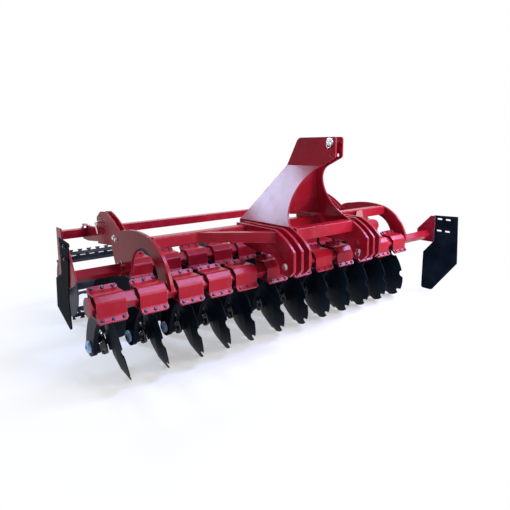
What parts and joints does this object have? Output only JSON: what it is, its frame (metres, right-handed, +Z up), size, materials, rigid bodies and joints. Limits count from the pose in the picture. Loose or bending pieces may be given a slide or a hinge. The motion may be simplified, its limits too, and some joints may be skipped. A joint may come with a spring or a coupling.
{
  "type": "disc harrow",
  "caption": "Red three-point mounted compact disc harrow with two staggered rows of notched black discs on rubber-sprung arms, a cage roller behind and telescoping side boards.",
  "frame": {"origin": "ground level under the middle of the box around the machine as parked", "axes": "+Y rearwards from hitch to roller, +Z up, +X to the right of a viewer in front who looks along +Y; left and right in the names are that viewer's"},
  "size_m": [3.506, 2.13, 1.5152],
  "materials": {
    "red_paint": "gloss",
    "black_paint": "satin",
    "disc_paint": "satin",
    "roller_paint": "matte",
    "zinc_plate": "satin",
    "rubber": "matte"
  },
  "bodies": {
    "frame": {"arch_plates": "red_paint", "brace_tubes": "red_paint", "depth_pins": "zinc_plate", "front_arms": "black_paint", "front_beam": "red_paint", "front_clamp_bases": "red_paint", "front_clamp_tops": "red_paint", "front_hubs": "black_paint", "front_rubber_cords": "rubber", "hitch_pins": "zinc_plate", "hitch_tube": "red_paint", "left_hitch_plates": "red_paint", "mast_plates": "red_paint", "mast_web": "red_paint", "pivot_pins": "zinc_plate", "rear_arms": "black_paint", "rear_beam": "red_paint", "rear_clamp_bases": "red_paint", "rear_clamp_tops": "red_paint", "rear_hubs": "black_paint", "rear_rubber_cords": "rubber", "right_hitch_plates": "red_paint", "sector_plates": "red_paint", "upper_tube": "red_paint"},
    "front_disc_01": {"front_disc_01": "disc_paint"},
    "front_disc_02": {"front_disc_02": "disc_paint"},
    "front_disc_03": {"front_disc_03": "disc_paint"},
    "front_disc_04": {"front_disc_04": "disc_paint"},
    "front_disc_05": {"front_disc_05": "disc_paint"},
    "front_disc_06": {"front_disc_06": "disc_paint"},
    "front_disc_07": {"front_disc_07": "disc_paint"},
    "front_disc_08": {"front_disc_08": "disc_paint"},
    "front_disc_09": {"front_disc_09": "disc_paint"},
    "front_disc_10": {"front_disc_10": "disc_paint"},
    "front_disc_11": {"front_disc_11": "disc_paint"},
    "front_disc_12": {"front_disc_12": "disc_paint"},
    "rear_disc_01": {"rear_disc_01": "disc_paint"},
    "rear_disc_02": {"rear_disc_02": "disc_paint"},
    "rear_disc_03": {"rear_disc_03": "disc_paint"},
    "rear_disc_04": {"rear_disc_04": "disc_paint"},
    "rear_disc_05": {"rear_disc_05": "disc_paint"},
    "rear_disc_06": {"rear_disc_06": "disc_paint"},
    "rear_disc_07": {"rear_disc_07": "disc_paint"},
    "rear_disc_08": {"rear_disc_08": "disc_paint"},
    "rear_disc_09": {"rear_disc_09": "disc_paint"},
    "rear_disc_10": {"rear_disc_10": "disc_paint"},
    "rear_disc_11": {"rear_disc_11": "disc_paint"},
    "rear_disc_12": {"rear_disc_12": "disc_paint"},
    "roller_frame": {"roller_arms": "red_paint", "roller_beam": "red_paint", "roller_bearings": "black_paint", "roller_side_plates": "red_paint"},
    "roller": {"roller_cage": "roller_paint"},
    "right_side_board": {"right_board": "black_paint", "right_board_bracket": "red_paint", "right_board_tube": "red_paint"},
    "left_side_board": {"left_board": "black_paint", "left_board_bracket": "red_paint", "left_board_tube": "red_paint"}
  },
  "joints": [
    {"name": "front_disc_01_spin", "type": "hinge", "parent": "frame", "child": "front_disc_01", "pos_m": [-1.648, -0.509, 0.24122], "axis": [0.9354, -0.286, 0.2079], "continuous": true},
    {"name": "front_disc_02_spin", "type": "hinge", "parent": "frame", "child": "front_disc_02", "pos_m": [-1.384, -0.509, 0.24122], "axis": [0.9354, -0.286, 0.2079], "continuous": true},
    {"name": "front_disc_03_spin", "type": "hinge", "parent": "frame", "child": "front_disc_03", "pos_m": [-1.123, -0.509, 0.24122], "axis": [0.9354, -0.286, 0.2079], "continuous": true},
    {"name": "front_disc_04_spin", "type": "hinge", "parent": "frame", "child": "front_disc_04", "pos_m": [-0.898, -0.509, 0.24122], "axis": [0.9354, -0.286, 0.2079], "continuous": true},
    {"name": "front_disc_05_spin", "type": "hinge", "parent": "frame", "child": "front_disc_05", "pos_m": [-0.678, -0.509, 0.24122], "axis": [0.9354, -0.286, 0.2079], "continuous": true},
    {"name": "front_disc_06_spin", "type": "hinge", "parent": "frame", "child": "front_disc_06", "pos_m": [-0.398, -0.509, 0.24122], "axis": [0.9354, -0.286, 0.2079], "continuous": true},
    {"name": "front_disc_07_spin", "type": "hinge", "parent": "frame", "child": "front_disc_07", "pos_m": [-0.148, -0.509, 0.24122], "axis": [0.9354, -0.286, 0.2079], "continuous": true},
    {"name": "front_disc_08_spin", "type": "hinge", "parent": "frame", "child": "front_disc_08", "pos_m": [0.102, -0.509, 0.24122], "axis": [0.9354, -0.286, 0.2079], "continuous": true},
    {"name": "front_disc_09_spin", "type": "hinge", "parent": "frame", "child": "front_disc_09", "pos_m": [0.352, -0.509, 0.24122], "axis": [0.9354, -0.286, 0.2079], "continuous": true},
    {"name": "front_disc_10_spin", "type": "hinge", "parent": "frame", "child": "front_disc_10", "pos_m": [0.602, -0.509, 0.24122], "axis": [0.9354, -0.286, 0.2079], "continuous": true},
    {"name": "front_disc_11_spin", "type": "hinge", "parent": "frame", "child": "front_disc_11", "pos_m": [0.852, -0.509, 0.24122], "axis": [0.9354, -0.286, 0.2079], "continuous": true},
    {"name": "front_disc_12_spin", "type": "hinge", "parent": "frame", "child": "front_disc_12", "pos_m": [1.102, -0.509, 0.24122], "axis": [0.9354, -0.286, 0.2079], "continuous": true},
    {"name": "rear_disc_01_spin", "type": "hinge", "parent": "frame", "child": "rear_disc_01", "pos_m": [1.648, 0.181, 0.24122], "axis": [-0.9354, -0.286, 0.2079], "continuous": true},
    {"name": "rear_disc_02_spin", "type": "hinge", "parent": "frame", "child": "rear_disc_02", "pos_m": [1.384, 0.181, 0.24122], "axis": [-0.9354, -0.286, 0.2079], "continuous": true},
    {"name": "rear_disc_03_spin", "type": "hinge", "parent": "frame", "child": "rear_disc_03", "pos_m": [1.123, 0.181, 0.24122], "axis": [-0.9354, -0.286, 0.2079], "continuous": true},
    {"name": "rear_disc_04_spin", "type": "hinge", "parent": "frame", "child": "rear_disc_04", "pos_m": [0.898, 0.181, 0.24122], "axis": [-0.9354, -0.286, 0.2079], "continuous": true},
    {"name": "rear_disc_05_spin", "type": "hinge", "parent": "frame", "child": "rear_disc_05", "pos_m": [0.678, 0.181, 0.24122], "axis": [-0.9354, -0.286, 0.2079], "continuous": true},
    {"name": "rear_disc_06_spin", "type": "hinge", "parent": "frame", "child": "rear_disc_06", "pos_m": [0.398, 0.181, 0.24122], "axis": [-0.9354, -0.286, 0.2079], "continuous": true},
    {"name": "rear_disc_07_spin", "type": "hinge", "parent": "frame", "child": "rear_disc_07", "pos_m": [0.148, 0.181, 0.24122], "axis": [-0.9354, -0.286, 0.2079], "continuous": true},
    {"name": "rear_disc_08_spin", "type": "hinge", "parent": "frame", "child": "rear_disc_08", "pos_m": [-0.102, 0.181, 0.24122], "axis": [-0.9354, -0.286, 0.2079], "continuous": true},
    {"name": "rear_disc_09_spin", "type": "hinge", "parent": "frame", "child": "rear_disc_09", "pos_m": [-0.352, 0.181, 0.24122], "axis": [-0.9354, -0.286, 0.2079], "continuous": true},
    {"name": "rear_disc_10_spin", "type": "hinge", "parent": "frame", "child": "rear_disc_10", "pos_m": [-0.602, 0.181, 0.24122], "axis": [-0.9354, -0.286, 0.2079], "continuous": true},
    {"name": "rear_disc_11_spin", "type": "hinge", "parent": "frame", "child": "rear_disc_11", "pos_m": [-0.852, 0.181, 0.24122], "axis": [-0.9354, -0.286, 0.2079], "continuous": true},
    {"name": "rear_disc_12_spin", "type": "hinge", "parent": "frame", "child": "rear_disc_12", "pos_m": [-1.102, 0.181, 0.24122], "axis": [-0.9354, -0.286, 0.2079], "continuous": true},
    {"name": "roller_depth", "type": "hinge", "parent": "frame", "child": "roller_frame", "pos_m": [0, 0.1, 0.78322], "axis": [1, 0, 0], "range_deg": [-4, 10]},
    {"name": "roller_spin", "type": "hinge", "parent": "roller_frame", "child": "roller", "pos_m": [0, 0.765, 0.28686], "axis": [1, 0, 0], "continuous": true},
    {"name": "right_side_board_slide", "type": "slide", "parent": "frame", "child": "right_side_board", "axis": [1, 0, 0], "range_m": [-0.1, 0.15]},
    {"name": "left_side_board_slide", "type": "slide", "parent": "frame", "child": "left_side_board", "axis": [-1, 0, 0], "range_m": [-0.1, 0.15]}
  ]
}
